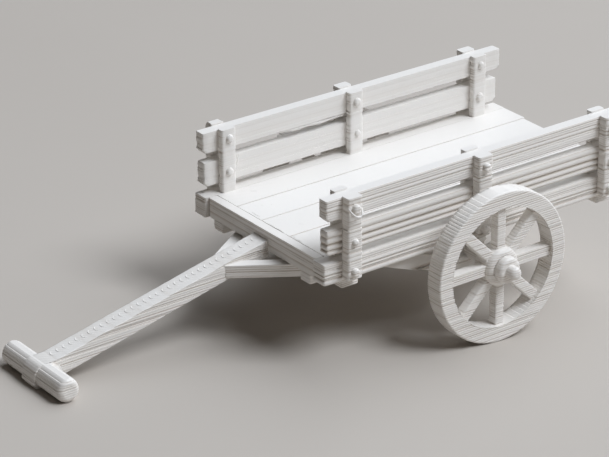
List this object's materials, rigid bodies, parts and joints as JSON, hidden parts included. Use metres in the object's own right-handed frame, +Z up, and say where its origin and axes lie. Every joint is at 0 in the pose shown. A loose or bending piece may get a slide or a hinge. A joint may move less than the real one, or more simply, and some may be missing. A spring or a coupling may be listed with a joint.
{
  "type": "model hand cart",
  "caption": "Small printed model of a wooden farm hand cart with spoked wheels on an axle, slatted side boards held by bolted posts, and a braced drawbar with a T-handle.",
  "frame": {"origin": "on the ground under the middle of the standing cart's box", "axes": "+X along the cart towards the handle, +Y to the cart's left along the axle, +Z up"},
  "size_m": [0.0814, 0.0424, 0.0251],
  "materials": {
    "printed_white": "satin, with fine print layers"
  },
  "bodies": {
    "cart": {"plank_1": "printed_white", "plank_2": "printed_white", "plank_3": "printed_white", "plank_4": "printed_white", "header": "printed_white", "sill_left": "printed_white", "sill_right": "printed_white", "stringer_left": "printed_white", "stringer_right": "printed_white", "beam_front": "printed_white", "beam_middle": "printed_white", "beam_rear": "printed_white", "rail_middle_left": "printed_white", "rail_middle_right": "printed_white", "rail_top_left": "printed_white", "rail_top_right": "printed_white", "post_out_front_left": "printed_white", "post_out_middle_left": "printed_white", "post_out_rear_left": "printed_white", "post_out_front_right": "printed_white", "post_out_middle_right": "printed_white", "post_out_rear_right": "printed_white", "post_in_front_left": "printed_white", "post_in_middle_left": "printed_white", "post_in_rear_left": "printed_white", "post_in_front_right": "printed_white", "post_in_middle_right": "printed_white", "post_in_rear_right": "printed_white", "hanger_left": "printed_white", "hanger_right": "printed_white", "axle": "printed_white", "axle_cap_left": "printed_white", "axle_cap_right": "printed_white", "drawbar": "printed_white", "handle": "printed_white", "brace_left": "printed_white", "brace_right": "printed_white"},
    "wheel_left": {"wheel_left_rim": "printed_white", "wheel_left_spokes": "printed_white", "wheel_left_nave": "printed_white"},
    "wheel_right": {"wheel_right_rim": "printed_white", "wheel_right_spokes": "printed_white", "wheel_right_nave": "printed_white"}
  },
  "joints": [
    {"name": "wheel_left_spin", "type": "hinge", "parent": "cart", "child": "wheel_left", "pos_m": [-0.01591, 0, 0.01], "axis": [0, 1, 0], "continuous": true},
    {"name": "wheel_right_spin", "type": "hinge", "parent": "cart", "child": "wheel_right", "pos_m": [-0.01591, 0, 0.01], "axis": [0, 1, 0], "continuous": true}
  ]
}
